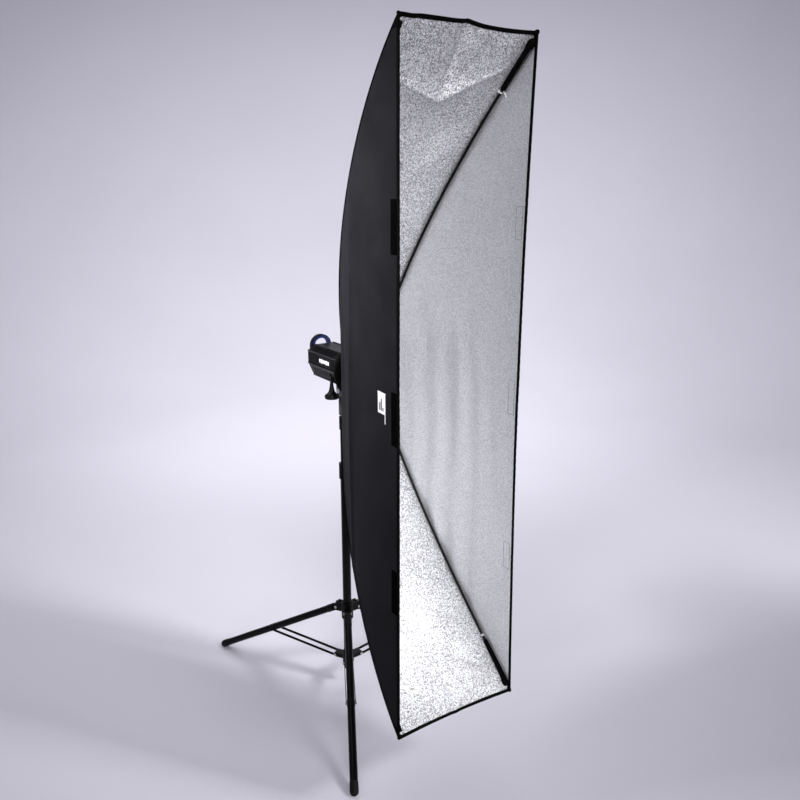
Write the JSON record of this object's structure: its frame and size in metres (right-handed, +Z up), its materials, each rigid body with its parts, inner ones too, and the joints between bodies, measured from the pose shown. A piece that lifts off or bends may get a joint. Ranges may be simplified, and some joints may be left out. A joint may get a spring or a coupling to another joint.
{
  "type": "studio softbox",
  "caption": "Tall strip softbox on a studio flash head, on a folding three-legged light stand with telescopic column.",
  "frame": {"origin": "where the stand's column axis meets the floor", "axes": "+Z up along the column, -Y the way the softbox faces, +X to its left as it faces out"},
  "size_m": [0.7663, 0.9883, 1.841],
  "materials": {
    "stand_black": "satin black",
    "stand_plastic": "moulded black",
    "steel": "zinc plated",
    "brass": "machined",
    "rubber": "matt",
    "head_grey": "dark grey moulding",
    "head_dark": "dark grey moulding",
    "casting": "satin cast",
    "handle_black": "polished",
    "handle_blue": "soft grip",
    "glass": "frosted",
    "flash_glass": "clear",
    "board": "laminate",
    "ring_black": "anodised black",
    "fabric_black": "woven nylon, silver lined",
    "rod_black": "fibreglass",
    "binding_black": "grosgrain binding"
  },
  "bodies": {
    "column": {"base_tube": "stand_black", "base_plug": "stand_plastic", "lower_collar": "stand_plastic", "brace_pins": "steel", "lock_collar_1": "stand_plastic"},
    "lock_knob_1": {"lock_knob_1": "stand_plastic"},
    "yoke": {"leg_yoke": "stand_plastic", "yoke_pins": "steel"},
    "yoke_knob": {"yoke_knob": "stand_plastic"},
    "mid_riser": {"mid_tube": "stand_black", "lock_collar_2": "stand_plastic"},
    "lock_knob_2": {"lock_knob_2": "stand_plastic"},
    "top_riser": {"top_tube": "stand_black", "top_spigot": "brass"},
    "bracket": {"stand_socket": "casting"},
    "socket_knob": {"socket_knob": "stand_plastic"},
    "head": {"tilt_fork": "casting", "tilt_bolt": "steel", "head_top_cover": "head_grey", "head_side_panels": "head_grey", "head_bottom_shell": "head_grey", "front_casting": "casting", "mount_ring": "casting", "glass_dome": "glass", "flash_tube": "flash_glass", "modelling_lamp": "flash_glass", "rear_panel": "head_dark", "rear_fittings": "head_dark", "handle_frame": "handle_black", "handle_grip": "handle_blue", "umbrella_tube": "steel", "flash_board": "board", "ring_insert": "casting"},
    "tilt_handle": {"tilt_handle": "stand_plastic"},
    "bayonet_slider": {"bayonet_slider": "steel"},
    "dial_power": {"dial_power": "head_dark"},
    "dial_lamp": {"dial_lamp": "head_dark"},
    "button_test": {"button_test": "head_dark"},
    "button_mode": {"button_mode": "head_dark"},
    "rocker_switch": {"rocker_switch": "head_dark"},
    "softbox": {"speed_ring": "ring_black", "bag_rods": "rod_black", "bag_side_left": "fabric_black", "bag_side_right": "fabric_black", "bag_top": "fabric_black", "bag_bottom": "fabric_black", "bag_bindings": "binding_black"},
    "ring_screw": {"ring_screw": "stand_plastic"},
    "leg_1": {"leg_1_tube": "stand_black", "leg_1_fittings": "stand_plastic", "leg_1_foot": "rubber"},
    "brace_1": {"brace_1": "stand_black"},
    "leg_2": {"leg_2_tube": "stand_black", "leg_2_fittings": "stand_plastic", "leg_2_foot": "rubber"},
    "brace_2": {"brace_2": "stand_black"},
    "leg_3": {"leg_3_tube": "stand_black", "leg_3_fittings": "stand_plastic", "leg_3_foot": "rubber"},
    "brace_3": {"brace_3": "stand_black"}
  },
  "joints": [
    {"name": "yoke_slide", "type": "slide", "parent": "column", "child": "yoke", "axis": [0, 0, 1], "range_m": [0, 0.35315]},
    {"name": "leg_1_fold", "type": "hinge", "parent": "yoke", "child": "leg_1", "pos_m": [-0.01929, 0.0304, 0.263], "axis": [-0.8443, -0.5358, 0], "range_deg": [0, 57.57]},
    {"name": "brace_1_fold", "type": "hinge", "parent": "column", "child": "brace_1", "pos_m": [-0.02143, 0.03377, 0.095], "axis": [-0.8443, -0.5358, 0], "range_deg": [-80.26, 0]},
    {"name": "leg_2_fold", "type": "hinge", "parent": "yoke", "child": "leg_2", "pos_m": [-0.01668, -0.0319, 0.263], "axis": [0.8862, -0.4633, 0], "range_deg": [0, 57.57]},
    {"name": "brace_2_fold", "type": "hinge", "parent": "column", "child": "brace_2", "pos_m": [-0.01853, -0.03545, 0.095], "axis": [0.8862, -0.4633, 0], "range_deg": [-80.26, 0]},
    {"name": "leg_3_fold", "type": "hinge", "parent": "yoke", "child": "leg_3", "pos_m": [0.03597, 0.00151, 0.263], "axis": [-0.0419, 0.9991, 0], "range_deg": [0, 57.57]},
    {"name": "brace_3_fold", "type": "hinge", "parent": "column", "child": "brace_3", "pos_m": [0.03996, 0.00168, 0.095], "axis": [-0.0419, 0.9991, 0], "range_deg": [-80.26, 0]},
    {"name": "lock_knob_1_turn", "type": "hinge", "parent": "column", "child": "lock_knob_1", "pos_m": [0, 0, 0.73], "axis": [0.866, -0.5, 0], "range_deg": [0, 270]},
    {"name": "lock_knob_2_turn", "type": "hinge", "parent": "mid_riser", "child": "lock_knob_2", "pos_m": [0, 0, 0.875], "axis": [0.866, -0.5, 0], "range_deg": [0, 270]},
    {"name": "yoke_knob_turn", "type": "hinge", "parent": "yoke", "child": "yoke_knob", "pos_m": [0, 0, 0.243], "axis": [0.4633, 0.8862, 0], "range_deg": [0, 270]},
    {"name": "socket_knob_turn", "type": "hinge", "parent": "bracket", "child": "socket_knob", "pos_m": [0, 0, 0.912], "axis": [1, 0, 0], "range_deg": [0, 270]},
    {"name": "mid_riser_slide", "type": "slide", "parent": "column", "child": "mid_riser", "axis": [0, 0, 1], "range_m": [-0.1, 0.45]},
    {"name": "top_riser_slide", "type": "slide", "parent": "mid_riser", "child": "top_riser", "axis": [0, 0, 1], "range_m": [0, 0.45]},
    {"name": "bracket_pan", "type": "hinge", "parent": "top_riser", "child": "bracket", "pos_m": [0, 0, 0.912], "axis": [0, 0, 1], "continuous": true},
    {"name": "head_tilt", "type": "hinge", "parent": "bracket", "child": "head", "pos_m": [0, 0, 0.962], "axis": [-1, 0, 0], "range_deg": [-14, 60]},
    {"name": "tilt_handle_turn", "type": "hinge", "parent": "head", "child": "tilt_handle", "pos_m": [-0.043, -0.012, 0.952], "axis": [0, 0, 1], "range_deg": [0, 180]},
    {"name": "bayonet_release", "type": "slide", "parent": "head", "child": "bayonet_slider", "axis": [0, 1, 0], "range_m": [0, 0.005], "stiffness_N_per_m": 300},
    {"name": "dial_power_turn", "type": "hinge", "parent": "head", "child": "dial_power", "pos_m": [0.017, 0.128, 1.038], "axis": [0, 1, 0], "range_deg": [-135, 135]},
    {"name": "dial_lamp_turn", "type": "hinge", "parent": "head", "child": "dial_lamp", "pos_m": [-0.009, 0.128, 1.038], "axis": [0, 1, 0], "range_deg": [-135, 135]},
    {"name": "button_test_press", "type": "slide", "parent": "head", "child": "button_test", "axis": [0, -1, 0], "range_m": [0, 0.0015], "stiffness_N_per_m": 500},
    {"name": "button_mode_press", "type": "slide", "parent": "head", "child": "button_mode", "axis": [0, -1, 0], "range_m": [0, 0.0015], "stiffness_N_per_m": 500},
    {"name": "rocker_tip", "type": "hinge", "parent": "head", "child": "rocker_switch", "pos_m": [-0.024, 0.126, 1.013], "axis": [1, 0, 0], "range_deg": [-12, 0]},
    {"name": "softbox_roll", "type": "hinge", "parent": "head", "child": "softbox", "pos_m": [0, -0.102, 1.04], "axis": [0, 1, 0], "continuous": true},
    {"name": "ring_screw_turn", "type": "hinge", "parent": "softbox", "child": "ring_screw", "pos_m": [0, -0.096, 1.04], "axis": [0, 0, 1], "range_deg": [0, 270]}
  ],
  "couplings": [
    {"joint": "leg_1_fold", "follows": "yoke_slide", "rad_per_m": 2.8449},
    {"joint": "brace_1_fold", "follows": "yoke_slide", "rad_per_m": -3.9661},
    {"joint": "leg_2_fold", "follows": "yoke_slide", "rad_per_m": 2.8449},
    {"joint": "brace_2_fold", "follows": "yoke_slide", "rad_per_m": -3.9661},
    {"joint": "leg_3_fold", "follows": "yoke_slide", "rad_per_m": 2.8449},
    {"joint": "brace_3_fold", "follows": "yoke_slide", "rad_per_m": -3.9661}
  ]
}
